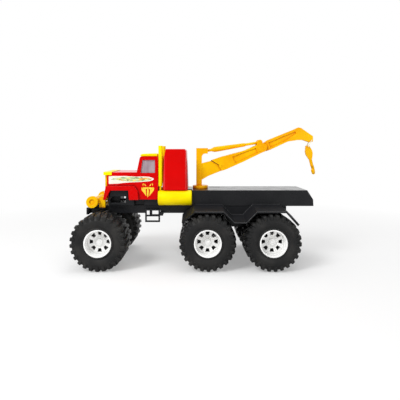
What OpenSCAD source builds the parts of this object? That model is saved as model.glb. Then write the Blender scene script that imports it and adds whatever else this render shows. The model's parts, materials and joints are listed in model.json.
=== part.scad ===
// Toy monster tow truck with six big wheels, a conventional cab, a sleeper box and a swivelling crane.
// +Z is up, the truck's front faces -Y and its left side +X. All sizes are in millimetres.
// Side outlines are written as [station, height]: station 0 is the front axle, and it grows to the rear.

/* [Wheels] */
// Distance from the front axle to the middle axle
wheelbase_front = 166; // [138:1:200]
// Distance from the middle axle to the rear axle
wheelbase_rear = 99; // [93:1:120]
// Width over the outer faces of the tyres
track_w = 165; // [156:1:200]
// Outer radius of the tyres
tyre_r = 43.5; // [36:0.5:52]
// Width of each tyre
tyre_w = 54; // [44:1:60]
// Outer radius of the wheel rims, where the tyres sit
rim_r = 20.8; // [17:0.1:26]
// Depth of the rim's dish, from the tyre's face to the wheel disc
dish_depth = 15; // [8:0.5:20]
// Number of windows in each wheel disc
disc_windows = 8; // [5:1:10]
// Radius of the steel axle rods
axle_r = 2; // [1.5:0.1:3]

/* [Chassis] */
// Half the width of the chassis frame
frame_half_w = 24; // [20:0.5:25]
// Height of the chassis frame
frame_h = 13; // [8:0.5:15]
// Height of the frame's top above the top of the tyres
frame_over_tyre = 6; // [4:0.5:12]
// How far the frame reaches behind the rear axle
frame_overhang = 33; // [20:1:60]

/* [Cab] */
// Half the width of the cab and the hood
cab_half_w = 33; // [30:0.5:40]
// Length of the hood, from its front to the foot of the windscreen
hood_l = 48.6; // [46:1:61]
// Length of the cab behind the foot of the windscreen
cab_l = 34.9; // [29:0.5:39]
// Height of the hood's sides
hood_h = 44.4; // [37:0.2:53]
// Height of the cab from its lower edge to the roof
cab_h = 70.4; // [66:0.2:84]
// Wall of the moulded cab, sleeper and deck
wall = 2; // [1.6:0.1:2.6]
// How far the wheel arch flare stands out from the hood's side
flare_out = 5; // [2:0.5:8]
// Height of the cab's floor block above the frame
cab_mount_h = 10.6; // [8:0.2:14]

/* [Sleeper and tanks] */
// Length of the sleeper box
sleeper_l = 41; // [34:1:49]
// Height of the sleeper box
sleeper_h = 67.3; // [56:0.1:80]
// Half the width of the sleeper box
sleeper_half_w = 36; // [32:0.5:40]
// Radius of the fuel tanks
tank_r = 12.2; // [11:0.1:14]
// Length of the fuel tanks
tank_l = 55; // [50:1:58]
// Radius of the exhaust stacks
stack_r = 3.5; // [2.6:0.1:3.6]
// Height of the exhaust stacks above the tanks
stack_h = 73; // [61:0.2:88]

/* [Deck] */
// Height of the deck's box
deck_h = 25.8; // [21:0.2:31]
// Half the width of the deck
deck_half_w = 34; // [30:0.5:38]
// How far the deck reaches behind the rear axle
deck_overhang = 75; // [62:1:90]
// Thickness of the fenders over the rear wheels
fender_t = 1.8; // [1.4:0.1:2.2]
// Slope of the rear fenders down to their outer edges, in degrees
fender_slope = 7; // [5:0.5:8]

/* [Crane] */
// Height of the crane post above the deck
post_h = 69; // [60:0.5:82]
// Radius of the post's round foot
foot_r = 13; // [11:0.5:15]
// Length of the boom, from its pin to the knuckle
boom_l = 76; // [70:1:91]
// Length of the jib, from the knuckle to the hook's pin
jib_l = 85; // [71:1:102]
// Half the width of the boom
boom_half_w = 8; // [7:0.5:10]
// Half the width of the jib
jib_half_w = 5; // [4:0.5:6]
// Radius of the crane's pins
pin_r = 1.5; // [1.2:0.1:1.8]
// Radius of the cylinder's barrel
barrel_r = 4.4; // [3.8:0.1:5]
// Radius of the cylinder's rod
rod_r = 2.2; // [1.8:0.1:2.6]

/* [Hidden] */

$fn = 64;
past = 1;            // how far a cut runs past the face it leaves by
seat = 0.3;          // gap between two pieces that curve against each other
running_fit = 0.05;  // radial gap of a pin or a rod in its hole
tyre_gap = 5;        // least gap between the middle and the rear tyres

// Heights above the floor
axle_z = tyre_r;
tyre_top_z = 2 * tyre_r;
frame_top_z = tyre_top_z + frame_over_tyre;
frame_bottom_z = frame_top_z - frame_h;
cab_bottom_z = frame_top_z + cab_mount_h;
hood_top_z = cab_bottom_z + hood_h;
roof_z = cab_bottom_z + cab_h;
deck_top_z = frame_top_z + deck_h;

// Stations behind the front axle
middle_axle_s = wheelbase_front;
rear_axle_s = wheelbase_front + max(wheelbase_rear, 2 * tyre_r + tyre_gap);
hood_front_s = 2.8;
screen_foot_s = hood_front_s + hood_l;
cab_rear_s = screen_foot_s + cab_l;
stack_s = cab_rear_s + seat + stack_r;
sleeper_front_s = stack_s + stack_r + seat;
sleeper_rear_s = sleeper_front_s + sleeper_l;
tank_front_s = cab_rear_s + seat;
tank_rear_s = tank_front_s + tank_l;
deck_front_s = max(tank_rear_s, sleeper_rear_s) + seat;
deck_rear_s = rear_axle_s + deck_overhang;
frame_front_s = -25;
frame_rear_s = rear_axle_s + frame_overhang;

// Crane points, as [station, height]
swivel_s = deck_front_s + foot_r + 1;
post_top_z = deck_top_z + post_h;
boom_root = [swivel_s + 36.6, deck_top_z + 38.2];
boom_angle = 24.7;
knuckle = boom_root + boom_l * [cos(boom_angle), sin(boom_angle)];
rod_end = knuckle + [-4.3, 8.7];
barrel_end = [swivel_s + 9.4, post_top_z - 4.8];
jib_angle = 8.1;
hook_pin = knuckle + jib_l * [cos(jib_angle), sin(jib_angle)];
cylinder_l = norm(rod_end - barrel_end);
cylinder_angle = atan2(rod_end[1] - barrel_end[1], rod_end[0] - barrel_end[0]);

// Hook, hung so that its weight is under its pin
line_r = 0.6;
line_l = 11.6;
line_lean = 28;
hook_weight_drop = 23.8;
hook_lean = asin(line_l * sin(line_lean) / hook_weight_drop);
hook_t = 5;
hook_ring_r = 6.6;
hook_bar_r = 2.6;
hook_ring_drop = 40;
hook_turn = 68;
hook_top = hook_pin + line_l * [-sin(line_lean), -cos(line_lean)];
hook_ring = hook_top + hook_ring_drop * [sin(hook_lean), -cos(hook_lean)];
hook_reach = hook_bar_r
    + sqrt(pow(hook_ring_r * cos(hook_turn) * cos(hook_lean), 2) + pow(hook_ring_r * sin(hook_lean), 2));

// The model is centred between the front tyre's front and the hook's rear
rearmost_s = hook_ring[0] + hook_reach;
front_axle_y = tyre_r - (tyre_r + rearmost_s) / 2;

// Extrudes a [station, height] outline across the truck, from x0 to x1
module across(x0, x1) {
    translate([x0, front_axle_y, 0])
        rotate([90, 0, 90])
            linear_extrude(x1 - x0)
                children();
}

// A round bar across the truck at a [station, height] point
module cross_bar(point, r, x0, x1) {
    translate([x0, front_axle_y + point[0], point[1]])
        rotate([0, 90, 0])
            cylinder(h = x1 - x0, r = r);
}

// A box from stations s0 to s1, heights z0 to z1 and half-width w
module centre_box(s0, s1, z0, z1, w) {
    translate([-w, front_axle_y + s0, z0])
        cube([2 * w, s1 - s0, z1 - z0]);
}

// The same shape on the left and mirrored on the right
module both_sides() {
    children();
    mirror([1, 0, 0]) children();
}

// ---------- chassis ----------

frame_skin = 2;
rib_t = 2;
frame_rib_pitch = 60;
frame_ribs = floor((frame_rear_s - frame_front_s) / frame_rib_pitch);

module chassis_frame() {
    color("#26262a")
        union() {
            difference() {
                centre_box(frame_front_s, frame_rear_s, frame_bottom_z, frame_top_z, frame_half_w);
                centre_box(frame_front_s + frame_skin, frame_rear_s - frame_skin,
                    frame_bottom_z - past, frame_top_z - frame_skin, frame_half_w - frame_skin);
                centre_box(step_front_s, step_front_s + step_l, frame_bottom_z - past, step_top_z - step_bar,
                    frame_half_w + past);
            }
            for (i = [1 : frame_ribs - 1])
                translate([0, i * (frame_rear_s - frame_front_s) / frame_ribs, 0])
                    centre_box(frame_front_s - rib_t / 2, frame_front_s + rib_t / 2,
                        frame_bottom_z + rib_t, frame_top_z - frame_skin / 2, frame_half_w - frame_skin / 2);
        }
}

skid_half_w = 34;
skid_t = 1.6;
skid_top_z = tyre_top_z + 3.2;
skid_front_s = -0.7 * tyre_r;
skid_lip_t = 3.5;
skid_lip_h = 0.253 * tyre_r;

module front_skid_plate() {
    color("#26262a")
        difference() {
            union() {
                centre_box(skid_front_s, 0, skid_top_z - skid_t, skid_top_z, skid_half_w);
                centre_box(skid_front_s, skid_front_s + skid_lip_t, skid_top_z - skid_lip_h, skid_top_z,
                    skid_half_w);
            }
            centre_box(frame_front_s, past, frame_bottom_z, frame_top_z, frame_half_w);
        }
}

carrier_half_w = 24;
cheek_t = 3;
boss_r = 6;
pylon_half_l = 14;

// A pylon from the frame down to an axle: two cheeks joined by the axle's tube
module axle_pylon(s) {
    for (x = [-carrier_half_w, carrier_half_w - cheek_t])
        across(x, x + cheek_t)
            polygon([
                [s - pylon_half_l, frame_bottom_z],
                [s - boss_r, axle_z],
                [s + boss_r, axle_z],
                [s + pylon_half_l, frame_bottom_z]
            ]);
    cross_bar([s, axle_z], boss_r, -carrier_half_w, carrier_half_w);
}

module axle_bore(s) {
    cross_bar([s, axle_z], axle_r + running_fit, -carrier_half_w - past, carrier_half_w + past);
}

module front_axle_carrier() {
    color("#26262a")
        difference() {
            axle_pylon(0);
            axle_bore(0);
        }
}

bogie_beam_h = 9;
bogie_beam_z = axle_z + 14;

module rear_axle_carrier() {
    color("#26262a")
        difference() {
            union() {
                axle_pylon(middle_axle_s);
                axle_pylon(rear_axle_s);
                for (x = [-carrier_half_w, carrier_half_w - cheek_t])
                    across(x, x + cheek_t)
                        translate([middle_axle_s, bogie_beam_z])
                            square([rear_axle_s - middle_axle_s, bogie_beam_h]);
            }
            axle_bore(middle_axle_s);
            axle_bore(rear_axle_s);
        }
}

axle_half_l = track_w / 2 - dish_depth - 1.2;

module axle_rod(s) {
    color("#b8bcc0")
        cross_bar([s, axle_z], axle_r, -axle_half_l, axle_half_l);
}

module front_axle() axle_rod(0);
module middle_axle() axle_rod(middle_axle_s);
module rear_axle() axle_rod(rear_axle_s);

// ---------- wheels, built for the left side about an axis at [0, 0, 0] with +X outwards ----------

wheel_face_x = track_w / 2;
tyre_inner_x = wheel_face_x - tyre_w;
shoulder = 4;
rim_wall = 1.8;
disc_t = 2.4;
hub_r = 4.6;
hub_cap_t = 2.2;
window_in_r = 10.2;
window_out_r = 15.8;
window_in_half = 2.1;
window_out_half = 3.6;

tyre_wall = 2.4;
sidewall_h = 9;

// Half section of the tyre's moulding; inset gives its hollow inside
module tyre_section(inset) {
    polygon([
        [rim_r + inset, inset],
        [tyre_r - sidewall_h, inset],
        [tyre_r - inset, shoulder + inset / 2],
        [tyre_r - inset, tyre_w - shoulder - inset / 2],
        [tyre_r - sidewall_h, tyre_w - inset],
        [rim_r + inset, tyre_w - inset]
    ]);
}

module tyre() {
    color("#2b2b2c")
        translate([tyre_inner_x, 0, 0])
            rotate([0, 90, 0])
                rotate_extrude()
                    difference() {
                        tyre_section(0);
                        tyre_section(tyre_wall);
                    }
}

module rim_outline() {
    disc_x = tyre_w - dish_depth;
    polygon([
        [0, disc_x - disc_t],
        [rim_r - rim_wall, disc_x - disc_t],
        [rim_r - rim_wall, 1],
        [rim_r, 1],
        [rim_r, tyre_w],
        [rim_r - rim_wall, tyre_w],
        [rim_r - rim_wall, disc_x],
        [0, disc_x]
    ]);
}

module wheel() {
    disc_x = tyre_w - dish_depth;
    color("#f2f2ee")
        translate([tyre_inner_x, 0, 0])
            difference() {
                rotate([0, 90, 0])
                    union() {
                        rotate_extrude() rim_outline();
                        cylinder(h = disc_x, r = hub_r);
                        translate([0, 0, disc_x]) cylinder(h = hub_cap_t, r = hub_r);
                    }
                rotate([0, 90, 0])
                    translate([0, 0, -past])
                        cylinder(h = disc_x - 1 + past, r = axle_r + running_fit);
                for (i = [0 : disc_windows - 1])
                    rotate([i * 360 / disc_windows, 0, 0])
                        translate([disc_x - disc_t - past, 0, 0])
                            rotate([90, 0, 90])
                                linear_extrude(disc_t + 2 * past)
                                    polygon([
                                        [-window_in_half, window_in_r],
                                        [window_in_half, window_in_r],
                                        [window_out_half, window_out_r],
                                        [-window_out_half, window_out_r]
                                    ]);
            }
}

module on_axle(s, side) {
    translate([0, front_axle_y + s, axle_z])
        mirror([side < 0 ? 1 : 0, 0, 0])
            children();
}

// ---------- cab ----------

screen_rake = 5;
roof_edge = 2;
arch_top_z = cab_bottom_z + 15.3;
flare_top_z = cab_bottom_z + 22.4;
arch_rear_s = hood_front_s + 35.7;

module cab_outline(inset) {
    polygon([
        [hood_front_s + inset, cab_bottom_z - (inset > 0 ? past : 0)],
        [hood_front_s + inset, hood_top_z - inset],
        [screen_foot_s + inset, hood_top_z - inset],
        [screen_foot_s + screen_rake + inset, roof_z - roof_edge - inset],
        [screen_foot_s + screen_rake + roof_edge + inset, roof_z - inset],
        [cab_rear_s - inset, roof_z - inset],
        [cab_rear_s - inset, cab_bottom_z - (inset > 0 ? past : 0)]
    ]);
}

// The wheel arch flare, with its slanted front leg
module flare_outline() {
    polygon([
        [hood_front_s - 0.9, flare_top_z],
        [hood_front_s - 5.3, cab_bottom_z],
        [hood_front_s - 1.6, cab_bottom_z],
        [hood_front_s + 6, arch_top_z],
        [arch_rear_s, arch_top_z],
        [arch_rear_s + 1, cab_bottom_z],
        [arch_rear_s + 16, cab_bottom_z],
        [arch_rear_s + 15, flare_top_z - 8],
        [arch_rear_s + 9, flare_top_z]
    ]);
}

module arch_outline() {
    polygon([
        [hood_front_s - 1.6, cab_bottom_z - past],
        [hood_front_s - 1.6, cab_bottom_z],
        [hood_front_s + 6, arch_top_z],
        [arch_rear_s, arch_top_z],
        [arch_rear_s + 1, cab_bottom_z],
        [arch_rear_s + 1, cab_bottom_z - past]
    ]);
}

window_bottom_z = hood_top_z - 1;
window_top_z = roof_z - 6;
window_front_s = screen_foot_s + 6.4;
window_rear_s = cab_rear_s - 5;
window_rake = 3;

module side_window_outline() {
    polygon([
        [window_front_s, window_bottom_z],
        [window_front_s + window_rake, window_top_z],
        [window_rear_s, window_top_z],
        [window_rear_s, window_bottom_z]
    ]);
}

screen_half_w = cab_half_w - 5;
screen_angle = atan2(screen_rake, roof_z - roof_edge - hood_top_z);
screen_l = norm([screen_rake, roof_z - roof_edge - hood_top_z]);

// Places its child in the windscreen's plane: +Y up the glass, +Z out of the cab's front
module on_screen() {
    translate([0, front_axle_y + screen_foot_s, hood_top_z])
        rotate([90 - screen_angle, 0, 0])
            children();
}

module screen_opening() {
    on_screen()
        for (x = [-screen_half_w, 1.5])
            translate([x, 2.5, -2 * wall - past])
                cube([screen_half_w - 1.5, screen_l - 4, 2 * (wall + past) + past]);
}

rear_window_half_w = 14;

module rear_window_opening() {
    centre_box(cab_rear_s - wall - past, cab_rear_s + past, window_bottom_z + 3, window_top_z - 3,
        rear_window_half_w);
}

module cab_shell() {
    color("#dd0a0a")
        difference() {
            union() {
                across(-cab_half_w, cab_half_w) cab_outline(0);
                both_sides()
                    across(cab_half_w - wall, cab_half_w + flare_out) flare_outline();
            }
            across(-cab_half_w + wall, cab_half_w - wall) cab_outline(wall);
            both_sides()
                across(cab_half_w - wall - past, cab_half_w + flare_out + past) arch_outline();
            both_sides()
                across(cab_half_w - wall - past, cab_half_w + past) side_window_outline();
            screen_opening();
            rear_window_opening();
        }
}

glass_t = 1.4;
glass_gap = 0.1;

// One clear moulding behind the cab's openings
module cab_windows() {
    inset = wall + glass_gap;
    glass_bottom_z = window_bottom_z - 3;
    color([0.62, 0.62, 0.66, 0.6])
        difference() {
            intersection() {
                across(-cab_half_w + inset, cab_half_w - inset) cab_outline(inset);
                centre_box(screen_foot_s, cab_rear_s, glass_bottom_z, roof_z, cab_half_w);
            }
            across(-cab_half_w + inset + glass_t, cab_half_w - inset - glass_t) cab_outline(inset + glass_t);
        }
}

grille_front_s = hood_front_s - 5.7;
grille_half_w = cab_half_w - 3.5;
grille_bottom_z = cab_bottom_z + 2.6;
cap_l = 8;
cap_h = 4.6;
cap_t = 0.6;
grille_slots = 7;
slot_w = 4;

module grille() {
    slot_pitch = (grille_half_w * 1.3) / grille_slots;
    color("#ffd800")
        difference() {
            union() {
                centre_box(grille_front_s + 2.2, hood_front_s - 0.05, grille_bottom_z, hood_top_z, grille_half_w);
                centre_box(grille_front_s + 1, grille_front_s + 3, grille_bottom_z + 14, hood_top_z,
                    grille_half_w - 5);
                centre_box(grille_front_s, hood_front_s + cap_l, hood_top_z - cap_h, hood_top_z + cap_t,
                    cab_half_w + cap_t);
            }
            centre_box(hood_front_s - 0.05, hood_front_s + cap_l + past, hood_top_z - cap_h - past,
                hood_top_z + 0.05, cab_half_w + 0.05);
            for (i = [0 : grille_slots - 1])
                translate([(i - (grille_slots - 1) / 2) * slot_pitch - slot_w / 2,
                        front_axle_y + grille_front_s - past, grille_bottom_z + 17])
                    cube([slot_w, past + 3.6, hood_top_z - cap_h - grille_bottom_z - 20]);
        }
}

lamp_r = 5;
lamp_x = cab_half_w - 10;

module headlights() {
    color("#f4f4f0")
        both_sides()
            translate([lamp_x, front_axle_y + grille_front_s + 2.2, grille_bottom_z + 8.5])
                rotate([90, 0, 0])
                    union() {
                        cylinder(h = 1.6, r = lamp_r);
                        translate([0, 0, 1.6]) cylinder(h = 1, r1 = lamp_r, r2 = lamp_r - 1.6);
                    }
}

// ---------- bumper ----------

bumper_s = -19.9;
bumper_z = skid_top_z + 9.9;
bumper_r = 5.6;
bumper_end_r = 9.6;
bumper_half_l = 40;
bumper_end_t = 6;
bumper_recess_r = 4.4;

module front_bumper() {
    color("#ffc200")
        difference() {
            union() {
                cross_bar([bumper_s, bumper_z], bumper_r, -bumper_half_l, bumper_half_l);
                both_sides()
                    cross_bar([bumper_s, bumper_z], bumper_end_r, bumper_half_l - bumper_end_t, bumper_half_l);
            }
            both_sides()
                cross_bar([bumper_s, bumper_z], bumper_recess_r, bumper_half_l - 2, bumper_half_l + past);
        }
}

bracket_out_x = cab_half_w - wall - 2 * seat;
bracket_in_x = bracket_out_x - 6;

module bumper_brackets() {
    color("#ffc200")
        both_sides()
            difference() {
                across(bracket_in_x, bracket_out_x)
                    polygon([
                        [-10.5, skid_top_z],
                        [-10.5, bumper_z - 3],
                        [bumper_s, bumper_z - 3],
                        [bumper_s, bumper_z + 3],
                        [-10.5, bumper_z + 6],
                        [-6, bumper_z + 8.5],
                        [grille_front_s + 2.15, bumper_z + 8.5],
                        [grille_front_s + 2.15, skid_top_z]
                    ]);
                cross_bar([bumper_s, bumper_z], bumper_r + 0.02, bracket_in_x - past, bracket_out_x + past);
            }
}

// ---------- inside the arches and under the cab ----------

module inner_block() {
    color("#1d1d20")
        centre_box(hood_front_s + wall + seat, hood_front_s + 19, frame_top_z, frame_top_z + 22, 16);
}

module cab_floor() {
    color("#1d1d20")
        union() {
            centre_box(arch_rear_s + 24, cab_rear_s, frame_top_z, cab_bottom_z, 27);
            centre_box(arch_rear_s + 2, arch_rear_s + 24, frame_top_z, cab_bottom_z, 20);
            centre_box(arch_rear_s + 2, cab_rear_s - wall - seat, cab_bottom_z - 1.6, cab_bottom_z + 1.2,
                cab_half_w - wall - seat);
        }
}

// ---------- roof, stacks, tanks and sleeper ----------

visor_half_w = cab_half_w - 1;
visor_front_s = screen_foot_s + 5.6;
visor_rear_s = cab_rear_s - 1.2;
visor_h = 4.6;

module roof_visor() {
    color("#ffe000")
        across(-visor_half_w, visor_half_w)
            polygon([
                [visor_front_s, roof_z + 0.6],
                [visor_front_s + roof_edge + 2.4, roof_z],
                [visor_rear_s, roof_z],
                [visor_rear_s, roof_z + visor_h - 1],
                [visor_rear_s - 1.5, roof_z + visor_h],
                [visor_front_s + 3, roof_z + visor_h - 0.4],
                [visor_front_s, roof_z + 2.4]
            ]);
}

neck_half_w = 18.4;
tank_x = neck_half_w + seat + tank_r;
tank_z = frame_top_z + 13.4;
stack_pipe_r = 1.6;
stack_pipe_h = 6.6;

module exhaust_stack() {
    color("#ffe600")
        translate([tank_x, front_axle_y + stack_s, tank_z + tank_r])
            difference() {
                union() {
                    cylinder(h = stack_h, r = stack_pipe_r);
                    translate([0, 0, stack_pipe_h]) cylinder(h = stack_h - stack_pipe_h, r = stack_r);
                }
                translate([0, 0, stack_h - 8]) cylinder(h = 8 + past, r = stack_r - 1);
            }
}

tank_edge = 1.2;

module fuel_tank() {
    color("#ffe600")
        translate([tank_x, front_axle_y + tank_front_s, tank_z])
            rotate([-90, 0, 0])
                difference() {
                    rotate_extrude()
                        polygon([
                            [0, 0],
                            [tank_r - tank_edge, 0],
                            [tank_r, tank_edge],
                            [tank_r, tank_l - tank_edge],
                            [tank_r - tank_edge, tank_l],
                            [0, tank_l]
                        ]);
                    translate([0, 0, wall]) cylinder(h = tank_l - 2 * wall, r = tank_r - wall);
                }
}

// The room that the left tank and its seat take
module tank_room() {
    translate([tank_x, front_axle_y + tank_front_s, tank_z])
        rotate([-90, 0, 0])
            cylinder(h = tank_l + seat, r = tank_r + seat);
}

sleeper_corner = 5;
sleeper_taper = 2.4;
sleeper_top_z = deck_top_z + sleeper_h;

module sleeper_outline(inset) {
    polygon([
        [sleeper_front_s + inset, deck_top_z + inset],
        [sleeper_front_s + sleeper_taper + inset, sleeper_top_z - 12 - inset / 3],
        [sleeper_front_s + sleeper_taper + 3 + inset, sleeper_top_z - inset],
        [sleeper_rear_s - sleeper_taper - 3 - inset, sleeper_top_z - inset],
        [sleeper_rear_s - sleeper_taper - inset, sleeper_top_z - 3 - inset],
        [sleeper_rear_s - inset, deck_top_z + inset]
    ]);
}

module sleeper_plan(inset) {
    w = sleeper_half_w - inset;
    s0 = front_axle_y + sleeper_front_s + inset;
    s1 = front_axle_y + sleeper_rear_s - inset;
    translate([0, 0, deck_top_z - past])
        linear_extrude(sleeper_h + 2 * past)
            union() {
                translate([-w, s0 + sleeper_corner]) square([2 * w, s1 - s0 - 2 * sleeper_corner]);
                translate([-w + sleeper_corner, s0]) square([2 * (w - sleeper_corner), s1 - s0]);
                for (x = [-w + sleeper_corner, w - sleeper_corner], y = [s0 + sleeper_corner, s1 - sleeper_corner])
                    translate([x, y]) circle(r = sleeper_corner);
            }
}

module sleeper_box() {
    color("#d80a0a")
        difference() {
            intersection() {
                across(-sleeper_half_w, sleeper_half_w) sleeper_outline(0);
                sleeper_plan(0);
            }
            intersection() {
                across(-sleeper_half_w + wall, sleeper_half_w - wall) sleeper_outline(wall);
                sleeper_plan(wall);
            }
        }
}

// ---------- deck and fenders ----------

deck_tail_drop = 15;
deck_tail_l = 10;
notch_w = 3;
slot_l = 19;
slot_half_w = 3.2;
slot_x = -19;
spigot_r = 6;
spigot_h = 7;
deck_rib_pitch = 60;
deck_l = deck_rear_s - deck_front_s;
deck_ribs = floor(deck_l / deck_rib_pitch);

module deck_outline(inset) {
    polygon([
        [deck_front_s + inset, frame_top_z - (inset > 0 ? past : 0)],
        [deck_front_s + inset, deck_top_z - inset],
        [deck_rear_s - deck_tail_l - inset / 2, deck_top_z - inset],
        [deck_rear_s - 0.5 - inset, deck_top_z - deck_tail_drop],
        [deck_rear_s - inset, frame_top_z - (inset > 0 ? past : 0)]
    ]);
}

module deck() {
    color("#232327")
        difference() {
            union() {
                difference() {
                    union() {
                        across(-deck_half_w, deck_half_w) deck_outline(0);
                        centre_box(sleeper_front_s, deck_front_s + wall, frame_top_z, deck_top_z, neck_half_w);
                    }
                    across(-deck_half_w + wall, deck_half_w - wall) deck_outline(wall);
                    centre_box(sleeper_front_s + wall, deck_front_s + 2 * wall, frame_top_z - past,
                        deck_top_z - wall, neck_half_w - wall);
                }
                translate([0, front_axle_y + swivel_s, deck_top_z - spigot_h - wall])
                    cylinder(h = spigot_h + wall, r = spigot_r + 2);
                for (i = [1 : deck_ribs - 1])
                    translate([0, i * deck_l / deck_ribs, 0])
                        centre_box(deck_front_s - rib_t / 2, deck_front_s + rib_t / 2,
                            frame_top_z + rib_t, deck_top_z - wall / 2, deck_half_w - wall / 2);
            }
            translate([0, front_axle_y + swivel_s, deck_top_z - spigot_h])
                cylinder(h = spigot_h + past, r = spigot_r + running_fit);
            translate([slot_x - slot_half_w, front_axle_y + swivel_s + 15.6, deck_top_z - 1])
                cube([2 * slot_half_w, slot_l, 1 + past]);
            both_sides()
                translate([deck_half_w - 1, front_axle_y + rear_axle_s - notch_w, deck_top_z - 1.4])
                    cube([1 + past, notch_w, 1.4 + past]);
        }
}

fender_out_x = track_w / 2 - 4.5;
fender_gap = 3.6;
fender_run = fender_out_x - deck_half_w;
hump_z = tyre_top_z + fender_gap + fender_run * tan(fender_slope);
flap_l = 0.91 * tyre_r;
front_flap_drop = 0.37 * tyre_r;
rear_flap_drop = 0.448 * tyre_r;
hump_half_l = 0.47 * tyre_r;
dip_drop = 16.4;
dip_half_l = 9;
fender_wall = 2;

// The fender's outline below its humps' top: a hump over each rear wheel and a dip between them
module fender_outline() {
    t = fender_t;
    mid_s = (middle_axle_s + rear_axle_s) / 2;
    polygon([
        [middle_axle_s - flap_l, -front_flap_drop],
        [middle_axle_s - hump_half_l, 0],
        [middle_axle_s + 24.8, 0],
        [mid_s - dip_half_l, -dip_drop],
        [mid_s + dip_half_l, -dip_drop],
        [rear_axle_s - 24.4, 0],
        [rear_axle_s + hump_half_l, 0],
        [rear_axle_s + flap_l + 1, -rear_flap_drop],
        [rear_axle_s + flap_l - 1.6, -rear_flap_drop - 1.5 * t],
        [rear_axle_s + hump_half_l - 0.7, -t],
        [rear_axle_s - 23.7, -t],
        [mid_s + dip_half_l + 0.7, -dip_drop - t],
        [mid_s - dip_half_l - 0.7, -dip_drop - t],
        [middle_axle_s + 24.1, -t],
        [middle_axle_s - hump_half_l + 0.7, -t],
        [middle_axle_s - flap_l + 1.5, -front_flap_drop - t]
    ]);
}

// The wall that closes the dip below the deck's edge
module dip_wall_outline() {
    mid_s = (middle_axle_s + rear_axle_s) / 2;
    top = frame_top_z - seat - hump_z;
    polygon([
        [middle_axle_s + 28, top],
        [mid_s - dip_half_l, -dip_drop - fender_t],
        [mid_s + dip_half_l, -dip_drop - fender_t],
        [rear_axle_s - 27.6, top]
    ]);
}

module rear_fender() {
    color("#232327")
        union() {
            difference() {
                translate([deck_half_w + running_fit, front_axle_y, hump_z])
                    rotate([0, fender_slope, 0])
                        rotate([90, 0, 90])
                            linear_extrude(fender_run / cos(fender_slope))
                                fender_outline();
                centre_box(deck_front_s, deck_rear_s, frame_top_z, deck_top_z, deck_half_w + running_fit);
                tank_room();
            }
            across(deck_half_w - fender_wall, deck_half_w)
                translate([0, hump_z]) dip_wall_outline();
        }
}

// ---------- side steps ----------

step_front_s = arch_rear_s + 26.4;
step_l = 24.4;
step_top_z = frame_bottom_z + 7.7;
step_h = 21.5;
step_bar = 2.6;
step_x = 28;
step_t = 2.8;

module step_outline() {
    difference() {
        translate([step_front_s, step_top_z - step_h]) square([step_l, step_h]);
        translate([step_front_s + step_bar, step_top_z - step_bar - 7])
            square([6.4, 7]);
        translate([step_front_s + 2 * step_bar + 6.4, step_top_z - step_bar - 7])
            square([step_l - 3 * step_bar - 6.4, 7]);
        translate([step_front_s + step_bar, step_top_z - step_h + step_bar])
            square([step_l - 2 * step_bar, step_h - 3 * step_bar - 7]);
    }
}

module side_step() {
    color("#232327")
        union() {
            across(step_x, step_x + step_t) step_outline();
            for (s = [step_front_s, step_front_s + step_l - step_bar])
                across(frame_half_w, step_x + step_t)
                    translate([s, step_top_z - step_bar]) square([step_bar, step_bar]);
            across(step_x, step_x + step_t)
                translate([step_front_s + step_l, step_top_z - step_bar - 6]) square([6, 3.6]);
        }
}

// ---------- crane ----------

foot_h = 5;
post_half_w = 4.5;
post_front_s = swivel_s - 7;
post_rear_s = swivel_s + 2.6;
top_arm_s = swivel_s + 12.8;
top_arm_z = post_top_z - 9.4;
fork_in = 2.5;
tongue_half_w = 4;

// The post's side outline: a column, a top arm with a curved underside and the foot's fillets
module post_outline() {
    difference() {
        union() {
            translate([post_front_s, deck_top_z + seat]) square([post_rear_s - post_front_s, post_h - seat]);
            translate([post_front_s, top_arm_z]) square([top_arm_s - post_front_s, post_top_z - top_arm_z]);
            translate([post_rear_s, top_arm_z - 6]) square([6, 6]);
        }
        translate([post_rear_s + 6, top_arm_z - 6]) circle(r = 6);
    }
}

// The wedge that carries the boom's pin
module post_wedge_outline() {
    z = boom_root[1];
    polygon([
        [post_rear_s - 1, z + 4.5],
        [boom_root[0] - 18.6, z + 8.8],
        [boom_root[0] - 13.6, z + 9.2],
        [boom_root[0] - 3, z + 3.4],
        [boom_root[0] + 3, z - 6.5],
        [post_rear_s + 10.9, z - 17],
        [post_rear_s - 1, z - 24]
    ]);
}

module crane_post() {
    color("#ffb400")
        difference() {
            union() {
                across(-post_half_w, post_half_w) post_outline();
                across(-tongue_half_w, tongue_half_w) post_wedge_outline();
                cross_bar(boom_root, 4.2, -tongue_half_w, tongue_half_w);
                translate([0, front_axle_y + swivel_s, deck_top_z + seat])
                    cylinder(h = foot_h - seat, r = foot_r);
                translate([0, front_axle_y + swivel_s, deck_top_z - spigot_h + seat])
                    cylinder(h = spigot_h + past, r = spigot_r);
            }
            cross_bar(boom_root, pin_r, -tongue_half_w - past, tongue_half_w + past);
            cross_bar(barrel_end, pin_r, -post_half_w - past, post_half_w + past);
            across(-fork_in, fork_in)
                translate([barrel_end[0] - 5, barrel_end[1] - 5]) square([20, 12]);
        }
}

module boom_pin() {
    color("#ffb400")
        cross_bar(boom_root, pin_r, -boom_half_w, boom_half_w);
}

module cylinder_pin() {
    color("#ffb400")
        cross_bar(barrel_end, pin_r, -post_half_w, post_half_w);
}

cheek_in = 4.6;
knuckle_r = 7.9;
lug_r = 4.6;
panel_deep = 1.6;

// Points given along and across the boom, from its root pin
function on_boom(along, across_it) = boom_root
    + along * [cos(boom_angle), sin(boom_angle)]
    + across_it * [-sin(boom_angle), cos(boom_angle)];

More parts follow.
